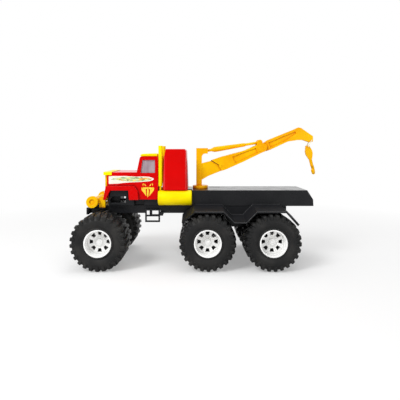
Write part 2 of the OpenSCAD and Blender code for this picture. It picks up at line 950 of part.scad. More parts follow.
module boom_outline() {
    polygon([
        on_boom(-3, -7.2),
        on_boom(4, -8),
        on_boom(boom_l * 0.5, -8.4),
        on_boom(boom_l, -knuckle_r + 0.4),
        on_boom(boom_l, knuckle_r - 0.4),
        on_boom(boom_l * 0.6, 8),
        on_boom(0.39 * boom_l, 10.8),
        on_boom(6.5, 14.6),
        boom_root + [-17.6, 10],
        boom_root + [-5.6, 2.6],
        boom_root + [-3.9, -2]
    ]);
}

module boom_web_outline() {
    polygon([
        on_boom(12, -8.6),
        on_boom(boom_l * 0.5, -8.4),
        on_boom(boom_l - 16, -8),
        on_boom(boom_l - 16, 8.2),
        on_boom(boom_l * 0.5, 12),
        on_boom(12, 15)
    ]);
}

module lug_outline() {
    polygon([
        rod_end + [-lug_r, -1],
        rod_end + [lug_r, -1],
        knuckle + [4, 2],
        knuckle + [-10, 2]
    ]);
}

module boom_panel_outline() {
    polygon([
        on_boom(boom_l * 0.3, -5.4),
        on_boom(boom_l * 0.86, -4.6),
        on_boom(boom_l * 0.86, 4.2),
        on_boom(boom_l * 0.3, 7.2)
    ]);
}

module boom() {
    color("#ffb400")
        difference() {
            union() {
                both_sides() {
                    across(cheek_in, boom_half_w) boom_outline();
                    across(cheek_in, boom_half_w) lug_outline();
                    cross_bar(knuckle, knuckle_r, cheek_in, boom_half_w + 0.6);
                    cross_bar(rod_end, lug_r, cheek_in, boom_half_w);
                }
                across(-cheek_in, cheek_in) intersection() {
                    boom_web_outline();
                    boom_outline();
                }
            }
            both_sides()
                across(boom_half_w - panel_deep, boom_half_w + past) boom_panel_outline();
            cross_bar(boom_root, pin_r + running_fit, -boom_half_w - past, boom_half_w + past);
            cross_bar(knuckle, pin_r, -boom_half_w - 2, boom_half_w + 2);
            cross_bar(rod_end, pin_r, -boom_half_w - past, boom_half_w + past);
        }
}

module knuckle_pin() {
    color("#ffb400")
        cross_bar(knuckle, pin_r, -boom_half_w - 0.6, boom_half_w + 0.6);
}

module rod_pin() {
    color("#ffb400")
        cross_bar(rod_end, pin_r, -boom_half_w, boom_half_w);
}

jib_slope = 25;
jib_eye_half_w = 4.2;
jib_eye_r = 4.4;
fork_gap = 0.5;

// Points given along and across the jib's straight stretch, from the knuckle
function on_jib(along, across_it) = knuckle
    + along * [cos(jib_slope), sin(jib_slope)]
    + across_it * [-sin(jib_slope), cos(jib_slope)];

module jib_outline() {
    polygon([
        on_jib(4, -8.6),
        on_jib(12, -9.4),
        on_jib(0.52 * jib_l, -9.4),
        hook_pin + [-21.5, 1],
        hook_pin + [-13.4, 1],
        hook_pin + [-2, -3],
        hook_pin + [2.8, -0.6],
        hook_pin + [2.8, 7.4],
        hook_pin + [-17.6, 21.6],
        hook_pin + [-22, 22.4],
        hook_pin + [-28.4, 19.3],
        on_jib(14, 7.4),
        on_jib(7, 6)
    ]);
}

// The fork at the jib's tip, where the hook's top swings
module jib_fork_outline() {
    polygon([
        hook_pin + [-22, -6],
        hook_pin + [-22, 5.2],
        hook_pin + [-4.6, 5.2],
        hook_pin + [-3.6, 3.4],
        hook_pin + [6, 3.4],
        hook_pin + [6, -6]
    ]);
}

module jib_panel_outline() {
    polygon([
        on_jib(13, -6.2),
        on_jib(0.5 * jib_l, -6.2),
        hook_pin + [-26, 12.5],
        hook_pin + [-28, 15.4],
        on_jib(13, 3.2)
    ]);
}

module jib() {
    color("#ffb400")
        difference() {
            union() {
                difference() {
                    across(-jib_half_w, jib_half_w) jib_outline();
                    cross_bar(knuckle, knuckle_r + 0.7, -jib_half_w - past, jib_half_w + past);
                }
                across(-jib_eye_half_w, jib_eye_half_w)
                    polygon([
                        on_jib(0, -jib_eye_r),
                        on_jib(12, -jib_eye_r - 1),
                        on_jib(12, jib_eye_r),
                        on_jib(0, jib_eye_r)
                    ]);
                cross_bar(knuckle, jib_eye_r, -jib_eye_half_w, jib_eye_half_w);
                cross_bar(hook_pin, 2.8, -jib_half_w, jib_half_w);
            }
            both_sides()
                across(jib_half_w - panel_deep, jib_half_w + past) jib_panel_outline();
            across(-hook_t / 2 - fork_gap, hook_t / 2 + fork_gap) jib_fork_outline();
            cross_bar(knuckle, pin_r + running_fit, -jib_eye_half_w - past, jib_eye_half_w + past);
            cross_bar(hook_pin, line_r + running_fit, -jib_half_w - past, jib_half_w + past);
        }
}

barrel_l = 68;
barrel_eye_half_w = 2.3;
rod_in = 34;
rod_hole_in = 14;
rod_eye_r = 3.6;
rod_eye_half_w = 4.2;
rod_eye_gap = 0.7;

// Places its child along the cylinder: +Z from the post's pin to the boom's lug
module along_cylinder() {
    translate([0, front_axle_y + barrel_end[0], barrel_end[1]])
        rotate([-(90 - cylinder_angle), 0, 0])
            children();
}

module cylinder_barrel() {
    color("#ffb400")
        difference() {
            union() {
                cross_bar(barrel_end, 3.2, -barrel_eye_half_w, barrel_eye_half_w);
                along_cylinder()
                    union() {
                        cylinder(h = 12, r = barrel_eye_half_w - 0.1);
                        translate([0, 0, 9])
                            rotate_extrude()
                                polygon([
                                    [0, 0],
                                    [2.2, 0],
                                    [barrel_r, 6],
                                    [barrel_r, 14],
                                    [rod_r + 0.8, barrel_l - 9],
                                    [0, barrel_l - 9]
                                ]);
                    }
            }
            cross_bar(barrel_end, pin_r + running_fit, -barrel_eye_half_w - past, barrel_eye_half_w + past);
            along_cylinder()
                translate([0, 0, rod_hole_in])
                    cylinder(h = barrel_l, r = rod_r + running_fit);
        }
}

module cylinder_rod() {
    color("#ffb400")
        difference() {
            union() {
                along_cylinder()
                    translate([0, 0, rod_in]) cylinder(h = cylinder_l - rod_in - 2.6, r = rod_r);
                cross_bar(rod_end, rod_eye_r, -rod_eye_half_w, rod_eye_half_w);
            }
            cross_bar(rod_end, pin_r + rod_eye_gap, -rod_eye_half_w - past, rod_eye_half_w + past);
        }
}

// ---------- hook ----------

line_leg_x = jib_half_w + seat;
line_leg_w = 1.3;

// Places its child at the hook's pin, with -Z down the line
module along_line() {
    translate([0, front_axle_y + hook_pin[0], hook_pin[1]])
        rotate([-line_lean, 0, 0])
            children();
}

// A thin link: a bar through the jib's tip, two legs and a bar through the hook's top
module hook_line() {
    color("#e8e8e0")
        along_line()
            union() {
                for (z = [0, -line_l])
                    translate([-line_leg_x - line_leg_w / 2, 0, z])
                        rotate([0, 90, 0]) cylinder(h = 2 * line_leg_x + line_leg_w, r = line_r);
                both_sides()
                    translate([line_leg_x, -line_leg_w / 2, -line_l - line_leg_w / 2])
                        cube([line_leg_w, line_leg_w, line_l + line_leg_w]);
            }
}

module along_hook() {
    translate([0, front_axle_y + hook_top[0], hook_top[1]])
        rotate([hook_lean, 0, 0])
            children();
}

module hook() {
    color("#ffc400")
        along_hook()
            difference() {
                union() {
                    translate([-hook_t / 2, 0, 0])
                        rotate([90, 0, 90])
                            linear_extrude(hook_t)
                                polygon([
                                    [-2.6, 1.6], [2.6, 1.6], [5.8, -8], [5.8, -13],
                                    [2.8, -22], [-2.8, -22], [-5.8, -13], [-5.8, -8]
                                ]);
                    translate([0, 0, -hook_ring_drop + hook_ring_r - 0.6])
                        cylinder(h = hook_ring_drop - hook_ring_r - 19, r = hook_bar_r);
                    translate([0, 0, -hook_ring_drop])
                        rotate([0, 0, hook_turn - 90])
                            rotate([90, 0, 0])
                                union() {
                                    rotate([0, 0, 85])
                                        rotate_extrude(angle = 265)
                                            translate([hook_ring_r, 0]) circle(r = hook_bar_r);
                                    rotate([0, 0, 350])
                                        translate([hook_ring_r, 0, 0]) sphere(r = hook_bar_r);
                                }
                }
                translate([-hook_t, 0, 0])
                    rotate([0, 90, 0]) cylinder(h = 2 * hook_t, r = line_r + running_fit);
            }
}

// ---------- nodes ----------

chassis_frame();
front_skid_plate();
front_axle_carrier();
rear_axle_carrier();
front_axle();
middle_axle();
rear_axle();
inner_block();
cab_floor();
cab_shell();
cab_windows();
grille();
headlights();
front_bumper();
bumper_brackets();
roof_visor();
exhaust_stack();  // exhaust_stack_left
mirror([1, 0, 0]) exhaust_stack();  // exhaust_stack_right
fuel_tank();  // fuel_tank_left
mirror([1, 0, 0]) fuel_tank();  // fuel_tank_right
sleeper_box();
deck();
rear_fender();  // rear_fender_left
mirror([1, 0, 0]) rear_fender();  // rear_fender_right
side_step();  // side_step_left
mirror([1, 0, 0]) side_step();  // side_step_right
on_axle(0, 1) wheel();  // wheel_front_left
on_axle(0, -1) wheel();  // wheel_front_right
on_axle(middle_axle_s, 1) wheel();  // wheel_middle_left
on_axle(middle_axle_s, -1) wheel();  // wheel_middle_right
on_axle(rear_axle_s, 1) wheel();  // wheel_rear_left
on_axle(rear_axle_s, -1) wheel();  // wheel_rear_right
on_axle(0, 1) tyre();  // tyre_front_left
on_axle(0, -1) tyre();  // tyre_front_right
on_axle(middle_axle_s, 1) tyre();  // tyre_middle_left
on_axle(middle_axle_s, -1) tyre();  // tyre_middle_right
on_axle(rear_axle_s, 1) tyre();  // tyre_rear_left
on_axle(rear_axle_s, -1) tyre();  // tyre_rear_right
crane_post();
boom_pin();
boom();
knuckle_pin();
jib();
cylinder_pin();
cylinder_barrel();
cylinder_rod();
rod_pin();
hook_line();
hook();
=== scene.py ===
import json
import math
import random

import bmesh
import bpy
from mathutils import Matrix, Vector

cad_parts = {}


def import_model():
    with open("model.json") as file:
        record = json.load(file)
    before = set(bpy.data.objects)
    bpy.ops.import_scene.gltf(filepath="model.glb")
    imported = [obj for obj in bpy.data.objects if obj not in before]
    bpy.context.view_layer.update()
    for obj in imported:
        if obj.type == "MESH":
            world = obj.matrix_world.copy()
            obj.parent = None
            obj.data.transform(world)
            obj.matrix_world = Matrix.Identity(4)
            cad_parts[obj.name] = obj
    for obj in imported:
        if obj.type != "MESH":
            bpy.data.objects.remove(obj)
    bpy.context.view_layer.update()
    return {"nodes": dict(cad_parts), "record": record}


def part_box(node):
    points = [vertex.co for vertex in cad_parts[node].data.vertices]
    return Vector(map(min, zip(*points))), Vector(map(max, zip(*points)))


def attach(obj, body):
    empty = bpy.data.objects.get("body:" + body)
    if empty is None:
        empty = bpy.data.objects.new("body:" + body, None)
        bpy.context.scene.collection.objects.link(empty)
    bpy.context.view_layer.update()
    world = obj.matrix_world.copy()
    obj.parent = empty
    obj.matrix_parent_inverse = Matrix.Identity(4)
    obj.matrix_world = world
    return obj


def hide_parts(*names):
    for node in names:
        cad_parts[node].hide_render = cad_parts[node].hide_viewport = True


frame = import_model()
MM = 0.001  # shapes are measured in millimetres. The frame's boxes, the floor and the lamps are in metres


def mid(node):
    """The middle of a CAD node's box, in metres."""
    low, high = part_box(node)
    return (low + high) / 2


AXLES = {name: mid(name + "_axle") for name in ("front", "middle", "rear")}
S0 = AXLES["front"].y  # stations run back from the front axle: y in metres is S0 + station * MM
BODY_OF = {n: b for b, ns in frame["record"]["behaviour"]["bodies"].items() for n in ns}
SLOT_OF = {s["node"]: s["material_slot"] for s in frame["record"]["subparts"]}
SIDES = {1: "left", -1: "right"}


# ---------- materials ----------


def nodes_of(name):
    """A new material with its node tree and its shader."""
    material = bpy.data.materials.new(name)
    material.use_nodes = True
    tree = material.node_tree
    return material, tree.nodes, tree.links, tree.nodes["Principled BSDF"]


def noise(nodes, links, coord, scale, detail, stretch=None):
    """Noise in the object's own space, about scale spots to a metre, stretched along an axis if asked."""
    texture = nodes.new("ShaderNodeTexNoise")
    texture.inputs["Scale"].default_value = scale
    texture.inputs["Detail"].default_value = detail
    source = coord.outputs["Object"]
    if stretch:
        mapping = nodes.new("ShaderNodeMapping")
        mapping.inputs["Scale"].default_value = stretch
        links.new(source, mapping.inputs["Vector"])
        source = mapping.outputs["Vector"]
    links.new(source, texture.inputs["Vector"])
    return texture.outputs["Fac"]


def ramp(nodes, links, factor, low, high, from_low=0.35, from_high=0.65):
    """Spreads a factor between from_low and from_high over low to high."""
    span = nodes.new("ShaderNodeMapRange")
    span.inputs["From Min"].default_value = from_low
    span.inputs["From Max"].default_value = from_high
    span.inputs["To Min"].default_value = low
    span.inputs["To Max"].default_value = high
    links.new(factor, span.inputs["Value"])
    return span.outputs["Result"]


def mix(nodes, links, factor, a, b):
    """A blend of two colours. Each argument is a number, a colour or another node's output."""
    node = nodes.new("ShaderNodeMix")
    node.data_type = "RGBA"
    for socket, value in (("Factor", factor), ("A", a), ("B", b)):
        kind = "VALUE" if socket == "Factor" else "RGBA"
        target = next(s for s in node.inputs if s.name == socket and s.type == kind)
        if isinstance(value, (int, float)):
            target.default_value = value
        elif isinstance(value, (tuple, list)):
            target.default_value = (*value, 1.0)
        else:
            links.new(value, target)
    return next(s for s in node.outputs if s.type == "RGBA")


def finish(nodes, links, shader, coord, colour, rough, spread, grain, bump, wave=0.0):
    """Colour, roughness and moulded skin, shared by all the truck's materials."""
    links.new(colour, shader.inputs["Base Color"])
    rub = ramp(nodes, links, noise(nodes, links, coord, 60, 4), rough - spread, rough + spread)
    links.new(rub, shader.inputs["Roughness"])
    fine = nodes.new("ShaderNodeBump")
    fine.inputs["Strength"].default_value = bump
    fine.inputs["Distance"].default_value = 0.2 * MM
    links.new(noise(nodes, links, coord, grain, 2), fine.inputs["Height"])
    if wave:
        broad = nodes.new("ShaderNodeBump")
        broad.inputs["Strength"].default_value = wave
        broad.inputs["Distance"].default_value = 2 * MM
        links.new(noise(nodes, links, coord, 30, 1), broad.inputs["Height"])
        links.new(broad.outputs["Normal"], fine.inputs["Normal"])
    links.new(fine.outputs["Normal"], shader.inputs["Normal"])


def painted_crevice_shade(nodes, links, colour, dark):
    """Darkens a colour in grooves and corners a few millimetres wide, found by ambient occlusion: painted
    shade.
    """
    shade = nodes.new("ShaderNodeAmbientOcclusion")
    shade.inputs["Distance"].default_value = 4 * MM
    shade.samples = 4
    return mix(nodes, links, ramp(nodes, links, shade.outputs["AO"], 0.0, 1.0, 0.3, 0.95), dark, colour)


def plastic(
        name, colour, groove_shade, rough=0.3, spread=0.05, bump=0.08, wave=0.06, specular=0.5, pale=None,
        shade=None):
    """Coloured mouldings: soft patches between pale and shade, and painted shade in grooves and corners."""
    material, nodes, links, shader = nodes_of(name)
    coord = nodes.new("ShaderNodeTexCoord")
    shader.inputs["Specular IOR Level"].default_value = specular
    patch = ramp(nodes, links, noise(nodes, links, coord, 22, 5), 0.0, 1.0)
    lighter = pale or tuple(min(1.0, c * 1.05) for c in colour)
    darker = shade or tuple(c * 0.93 for c in colour)
    base = mix(nodes, links, patch, darker, lighter)
    base = painted_crevice_shade(nodes, links, base, groove_shade)
    finish(nodes, links, shader, coord, base, rough, spread, 1500, bump, wave)
    return material


def dusty(name, colour, dust, rough, spread, grain, bump, amount=0.35, specular=0.5):
    """Black mouldings: a little pale dust and rub in soft patches."""
    material, nodes, links, shader = nodes_of(name)
    coord = nodes.new("ShaderNodeTexCoord")
    shader.inputs["Specular IOR Level"].default_value = specular
    cloud = ramp(nodes, links, noise(nodes, links, coord, 35, 8), 0.0, amount, 0.42, 0.75)
    base = mix(nodes, links, cloud, colour, dust)
    finish(nodes, links, shader, coord, base, rough, spread, grain, bump, 0.05)
    return material


BLACK, BLACK_DUST = (0.008, 0.0085, 0.010), (0.020, 0.020, 0.022)
M = {}
# Each plastic's third colour is the painted shade laid in its grooves and corners.
M["red_plastic"] = plastic(
    "red_moulding", (0.63, 0.001, 0.001), (0.16, 0.0, 0.0), rough=0.22, wave=0.05, specular=0.06)
# A glossier red that is also a shade lighter than red_moulding: the lighter red is a painted highlight.
M["red_gloss"] = plastic(
    "red_gloss_moulding", (0.66, 0.001, 0.001), (0.16, 0.0, 0.0), rough=0.2, wave=0.03, specular=0.5)
M["lemon_plastic"] = plastic(
    "lemon_moulding", (0.96, 0.74, 0.0), (0.84, 0.32, 0.0), rough=0.3, specular=0.07,
    pale=(0.98, 0.80, 0.0), shade=(0.92, 0.62, 0.0))
M["amber_plastic"] = plastic(
    "amber_moulding", (0.95, 0.46, 0.0), (0.66, 0.12, 0.0), rough=0.3, specular=0.08,
    pale=(0.98, 0.56, 0.0), shade=(0.90, 0.38, 0.0))
# A lighter, yellower amber for the bumper and its brackets: partly their own tone, partly painted light that
# lifts them where they sit in shade.
M["gold"] = plastic(
    "gold_moulding", (0.97, 0.60, 0.0), (0.76, 0.22, 0.0), rough=0.3, specular=0.08,
    pale=(0.99, 0.68, 0.0), shade=(0.94, 0.50, 0.0))
M["wheel_plastic"] = plastic(
    "wheel_moulding", (0.90, 0.90, 0.89), (0.60, 0.60, 0.58), rough=0.3, specular=0.25)
M["lamp_plastic"] = plastic("lamp_moulding", (0.80, 0.80, 0.78), (0.5, 0.5, 0.48), rough=0.15, specular=0.3)
M["line_plastic"] = plastic("line_moulding", (0.84, 0.80, 0.62), (0.6, 0.5, 0.2), rough=0.4, specular=0.2)
M["black_plastic"] = dusty("black_moulding", BLACK, BLACK_DUST, 0.28, 0.06, 1300, 0.06, specular=0.16)
M["fender"] = dusty("fender_moulding", BLACK, BLACK_DUST, 0.5, 0.06, 1300, 0.06, specular=0.12)
M["tyre_rubber"] = dusty(
    "tyre_moulding", (0.012, 0.0122, 0.0125), (0.050, 0.047, 0.043), 0.42, 0.08, 2200, 0.3, 0.5,
    specular=0.14)
M["axle_steel"] = plastic(
    "axle_rod", (0.60, 0.61, 0.63), (0.35, 0.35, 0.36), rough=0.28, spread=0.08, bump=0.04)
M["axle_steel"].node_tree.nodes["Principled BSDF"].inputs["Metallic"].default_value = 1.0


def glazing():
    """The windows' smoky clear moulding."""
    material, nodes, links, shader = nodes_of("window_moulding")
    coord = nodes.new("ShaderNodeTexCoord")
    patch = ramp(nodes, links, noise(nodes, links, coord, 40, 3, (1, 2.5, 0.5)), 0.0, 1.0)
    base = mix(nodes, links, patch, (0.34, 0.24, 0.28), (0.62, 0.54, 0.58))
    finish(nodes, links, shader, coord, base, 0.12, 0.05, 1200, 0.03, 0.1)
    shader.inputs["Alpha"].default_value = 0.7
    shader.inputs["Specular IOR Level"].default_value = 0.2
    return material


M["window_plastic"] = glazing()


# ---------- mesh helpers ----------


def piece(name, mesh, body, slot, replaces=(), materials=None):
    """A piece that rides on a body, in its slot's material or, face by face, in a list of its own."""
    obj = bpy.data.objects.new(name, mesh)
    bpy.context.scene.collection.objects.link(obj)
    indices = [polygon.material_index for polygon in mesh.polygons]
    mesh.materials.clear()
    for material in materials or [M[slot]]:
        mesh.materials.append(material)
    for polygon, index in zip(mesh.polygons, indices):
        polygon.material_index = index if materials else 0
    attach(obj, body)
    if replaces:
        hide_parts(*replaces)
    return obj


def smooth(mesh, angle):
    """Smooth shading, but for edges that turn by more than the angle."""
    for polygon in mesh.polygons:
        polygon.use_smooth = True
    mesh.set_sharp_from_angle(angle=math.radians(angle))


def from_bm(bm, name):
    mesh = bpy.data.meshes.new(name)
    bm.to_mesh(mesh)
    bm.free()
    return mesh


def cad_bm(node):
    """A CAD node's mesh with its seams welded and its flat faces made whole."""
    bm = bmesh.new()
    bm.from_mesh(frame["nodes"][node].data)
    bmesh.ops.remove_doubles(bm, verts=bm.verts, dist=0.01 * MM)
    bmesh.ops.dissolve_limit(bm, angle_limit=math.radians(1.0), verts=bm.verts, edges=bm.edges)
    return bm


SHARP = math.radians(28)  # an edge that turns by more is rounded
WIDE = 4.5  # a face wider than this is shaded flat


def rounded(obj, rule, segments):
    """Rounds an object's sharp edges and applies it.

    rule is a width, or a function that gives one for an edge's middle (x, station, height) and direction.
    """
    bm = bmesh.new()
    bm.from_mesh(obj.data)
    layer = bm.edges.layers.float.new("bevel_weight_edge")
    widest = 0.0
    wanted = {}
    for edge in bm.edges:
        if len(edge.link_faces) == 2 and edge.calc_face_angle(0.0) > SHARP:
            start, end = (vert.co for vert in edge.verts)
            centre, along = (start + end) / 2, (end - start).normalized()
            where = centre.x / MM, (centre.y - S0) / MM, centre.z / MM
            wanted[edge] = rule(*where, along) if callable(rule) else rule
            widest = max(widest, wanted[edge])
    for edge, width in wanted.items():
        edge[layer] = width / max(widest, 0.01)
    bm.to_mesh(obj.data)
    bm.free()
    bevel = obj.modifiers.new("round", "BEVEL")
    bevel.width = widest * MM
    bevel.segments = segments
    bevel.limit_method = "WEIGHT"
    bevel.use_clamp_overlap = True
    graph = bpy.context.evaluated_depsgraph_get()
    done = bpy.data.meshes.new_from_object(obj.evaluated_get(graph))
    obj.modifiers.clear()
    old = obj.data
    obj.data = done
    bpy.data.meshes.remove(old)
    smooth(obj.data, 40)
    for polygon in obj.data.polygons:
        points = [obj.data.vertices[v].co for v in polygon.vertices]
        longest = max((a - b).length for a, b in zip(points, points[1:] + points[:1]))
        if polygon.area > WIDE * MM * longest:
            polygon.use_smooth = False


# Nodes that look unlike the rest of their slot
FINISH = {
    # The bumper and its brackets take the lighter gold, partly as painted light against the shade they sit
    # in.
    "front_bumper": [M["gold"]], "bumper_brackets": [M["gold"]],
    "rear_fender_left": [M["fender"]], "rear_fender_right": [M["fender"]],
}


def moulded(node, rule, segments):
    """Stands for a CAD node with the same shape and softened edges."""
    mesh = from_bm(cad_bm(node), node + "_moulded")
    obj = piece(node + "_moulded", mesh, BODY_OF[node], SLOT_OF[node], [node], FINISH.get(node))
    rounded(obj, rule, segments)


def place(x, station, height):
    return Vector((x, S0 / MM + station, height)) * MM


def prism(bm, outline, x0, x1):
    """Extrudes an outline of (station, height) points from x0 to x1."""
    near, far = [[bm.verts.new(place(x, s, z)) for s, z in outline] for x in (x0, x1)]
    bm.faces.new(near)
    bm.faces.new(reversed(far))
    for k in range(len(outline)):
        n = (k + 1) % len(outline)
        bm.faces.new((near[k], far[k], far[n], near[n]))


def side_slab(name, outline, sign, reach, body, width=0.0, materials=None):
    """A flat black piece on one side, between two distances from the middle, its edges rounded by width."""
    bm = bmesh.new()
    prism(bm, outline, *sorted(sign * x for x in reach))
    bmesh.ops.recalc_face_normals(bm, faces=bm.faces)
    obj = piece(f"{name}_{SIDES[sign]}", from_bm(bm, name), body, "black_plastic", materials=materials)
    if width:
        rounded(obj, width, 2)


def lathe(bm, profile, steps, centre=Vector()):
    """Turns (x, radius) points about the X axis through centre, which is in metres."""
    rings = []
    for x, r in profile:
        ring = []
        for k in range(steps):
            a = 2 * math.pi * k / steps
            ring.append(bm.verts.new(centre + Vector((x, r * math.cos(a), r * math.sin(a))) * MM))
        rings.append(ring)
    for a, b in zip(rings, rings[1:]):
        for k in range(steps):
            n = (k + 1) % steps
            bm.faces.new((a[k], b[k], b[n], a[n]))


# ---------- tyres and wheels ----------

tyre_low, tyre_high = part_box("tyre_front_left")
wheel_low, wheel_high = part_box("wheel_front_left")
TYRE_R = (tyre_high.z - tyre_low.z) / 2 / MM
TYRE_W = (tyre_high.x - tyre_low.x) / MM
RIM_R = (wheel_high.z - wheel_low.z) / 2 / MM
LUGS = 26  # tread bars in each of the two rows
TREAD = TYRE_R - 2.7  # the radius between the bars
DISH = 15.0  # how deep the wheel's dish lies behind the tyre's face
TYRE_STEPS, HUB_STEPS = 104, 72
FIRST_TURN, NEXT_TURN = 5.0, 3.1  # degrees, so that the axles' treads don't stand alike


def tyre_mesh():
    """One tyre about the origin, its outer face at x = 0 and its inner face at x = -TYRE_W."""
    bm = bmesh.new()
    w = TYRE_W
    outer = [
        (-1.8, RIM_R - 0.2), (-1.1, RIM_R + 0.5), (-0.9, RIM_R + 1.6), (-1.3, RIM_R + 2.6),
        (-2.1, RIM_R + 3.1), (-2.1, RIM_R + 3.8), (-1.4, RIM_R + 5), (-0.7, RIM_R + 7.2),
        (-0.3, RIM_R + 9.6), (-0.45, RIM_R + 11.6), (-1.0, RIM_R + 13.2), (-1.1, RIM_R + 13.8),
        (-1.9, RIM_R + 15.2), (-3.2, TREAD - 1.2), (-5.0, TREAD - 0.2), (-7.5, TREAD)
    ]
    crown = [(-w * 0.33, TREAD + 0.15), (-w * 0.5, TREAD + 0.2), (-w * 0.67, TREAD + 0.15)]
    inner = [(-w - x, r) for x, r in reversed(outer)]
    bore = [(-w + 2.5, RIM_R - 2.2), (-w + 6, RIM_R - 2.2), (-17.8, RIM_R - 2.2)]
    lathe(bm, [(-17, RIM_R - 0.2)] + outer + crown + inner + bore, TYRE_STEPS)
    for row in (0, 1):
        for k in range(LUGS):
            lug(bm, 2 * math.pi * (k + 0.5 * row) / LUGS, row, k)
    bmesh.ops.recalc_face_normals(bm, faces=bm.faces)
    mesh = from_bm(bm, "tyre")
    smooth(mesh, 32)
    return mesh


def lug(bm, start, inner_row, k):
    """One tread bar from the sidewall over the shoulder: long and short bars take turns."""
    half_w = TYRE_W / 2
    reach = half_w + (5.0 if k % 2 else -1.5)
    # The foot's x and radius, the top's x and radius, the bar's half width, and its shift along the tread
    path = [
        (-1.5, RIM_R + 13.9, -0.9, RIM_R + 14.2, 1.9, 0.0),
        (-2.1, RIM_R + 15.2, -0.6, RIM_R + 16.0, 2.5, 0.0),
        (-3.2, TREAD - 1.3, -0.9, TREAD + 0.3, 2.9, 0.1),
        (-5.0, TREAD - 0.3, -2.5, TYRE_R - 0.8, 3.0, 0.3),
        (-7.0, TREAD - 0.3, -5.0, TYRE_R, 2.9, 0.5),
        (-half_w * 0.5, TREAD - 0.3, -half_w * 0.5, TYRE_R, 2.7, 1.8),
        (-half_w * 0.8, TREAD - 0.3, -half_w * 0.8, TYRE_R, 2.5, 3.2),
        (-reach, TREAD - 0.3, -reach + 0.9, TYRE_R - 0.1, 2.2, 4.4),
    ]
    rows = []
    for xb, rb, xt, rt, half, shift in path:
        foot = (xb, rb, half + 0.5)
        shoulder = (xt * 0.7 + xb * 0.3, rb * 0.35 + rt * 0.65, half)
        top = (xt, rt, half - 0.9)
        section = [(x, r, shift - h) for x, r, h in (foot, shoulder, top)]
        section += [(x, r, shift + h) for x, r, h in (top, shoulder, foot)]
        ring = []
        for x, r, arc in section:
            a = start + arc / TYRE_R
            if inner_row:
                x = -TYRE_W - x
            ring.append(bm.verts.new(Vector((x, r * math.cos(a), r * math.sin(a))) * MM))
        rows.append(ring)
    for a, b in zip(rows, rows[1:]):
        for i in range(5):
            bm.faces.new((a[i], a[i + 1], b[i + 1], b[i]))
    bm.faces.new(rows[0])
    bm.faces.new(reversed(rows[-1]))


def wheel_extras(bm, sign, centre, face_x):
    """A hub ring and a centre nub in the wheel's dish."""
    x = face_x - DISH
    for profile in (
        [(x - 0.1, 8.8), (x + 0.5, 8.5), (x + 0.5, 7.7), (x - 0.1, 7.4)],
        [(x + 2.1, 2.6), (x + 2.9, 2.3), (x + 3.1, 1.6), (x + 3.1, 0.01)],
    ):
        start = len(bm.verts)
        lathe(bm, profile, HUB_STEPS, Vector((0, centre.y, centre.z)))
        bm.verts.ensure_lookup_table()
        if sign < 0:
            for v in bm.verts[start:]:
                v.co.x = -v.co.x


TYRE = tyre_mesh()
for index, (name, axle) in enumerate(AXLES.items()):
    for sign, side in SIDES.items():
        body, tyre, wheel = f"{name}_{side}_wheel", f"tyre_{name}_{side}", f"wheel_{name}_{side}"
        low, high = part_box(tyre)
        mesh = TYRE.copy()
        face = high.x if sign > 0 else low.x
        turn = Matrix.Rotation(math.radians(FIRST_TURN + NEXT_TURN * index), 4, "X")
        mesh.transform(Matrix.Translation((face, axle.y, axle.z)) @ Matrix.Scale(sign, 4, (1, 0, 0)) @ turn)
        if sign < 0:
            mesh.flip_normals()
        piece(tyre + "_lugged", mesh, body, "tyre_rubber", [tyre])
        wheel_mesh = from_bm(cad_bm(wheel), wheel)
        wheel_obj = piece(wheel + "_moulded", wheel_mesh, body, "wheel_plastic", [wheel])
        rounded(wheel_obj, 0.55, 2)
        bm = bmesh.new()
        bm.from_mesh(wheel_obj.data)
        wheel_extras(bm, sign, axle, tyre_high.x / MM)
        bm.to_mesh(wheel_obj.data)
        bm.free()
        smooth(wheel_obj.data, 35)

# ---------- body ----------

cab_low, cab_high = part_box("cab_shell")
grille_low, grille_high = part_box("grille")
FLARE_OUT = 5  # how far the wheel arches stand out from the cab's sides
CAB_W = cab_high.x / MM - FLARE_OUT  # half the cab's width
CAB_BOTTOM, ROOF = cab_low.z / MM, cab_high.z / MM
HOOD_FRONT = (grille_high.y - S0) / MM - 8
HOOD_REAR = HOOD_FRONT + 48
HOOD_TOP = grille_high.z / MM - 0.6
WINDOWS_FROM, WINDOWS_TO = HOOD_REAR + 8, HOOD_REAR + 35  # the side windows' upright edges lie between
ARCH_TOP = CAB_BOTTOM + 15.3
SLEEPER_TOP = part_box("sleeper_box")[1].z / MM
DECK_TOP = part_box("deck")[1].z / MM
DECK_HALF_W = 34


def cab_edges(x, s, z, d):
    """Wide on the arches, the hood's sides, the roof and the cab's corners. Narrow on openings."""
    if abs(x) > CAB_W + FLARE_OUT - 0.2:
        outside = z > ARCH_TOP + 2 or s < HOOD_FRONT - 3 or s > HOOD_REAR - 3
        return 3.8 if outside else 0.7
    if abs(x) > CAB_W - 0.2:
        if abs(z - HOOD_TOP) < 0.5 and abs(d.y) > 0.9 and s < HOOD_REAR:
            return 2.2
        if z > ROOF - 2.5:
            return 1.9
        if abs(d.z) > 0.9 and s > HOOD_REAR and z > HOOD_TOP:
            return 1.2 if s < WINDOWS_FROM or s > WINDOWS_TO else 0.5
        return 0.5
    if z > ROOF - 2.5 and abs(x) < CAB_W - 4:
        return 1.6
    return 0.35


def sleeper_edges(x, s, z, d):
    """Wide round the sleeper's roof."""
    return 0.6 if z < SLEEPER_TOP - 14 else 1.5


def deck_edges(x, s, z, d):
    """Wider along the deck's sides."""
    return 0.8 if abs(x) > DECK_HALF_W - 0.5 and abs(d.y) > 0.5 else 0.45


def grille_edges(x, s, z, d):
    """Leaves the slots' edges sharp."""
    slots = abs(x) < grille_high.x / MM - 6 and grille_low.z / MM + 4 < z < grille_high.z / MM - 3
    return 0.0 if slots else 0.4


def arm_edges(x, s, z, d):
    """Wider on the crane arms' outer faces than in their panels."""
    return 0.75 if abs(x) > 4.9 else 0.5


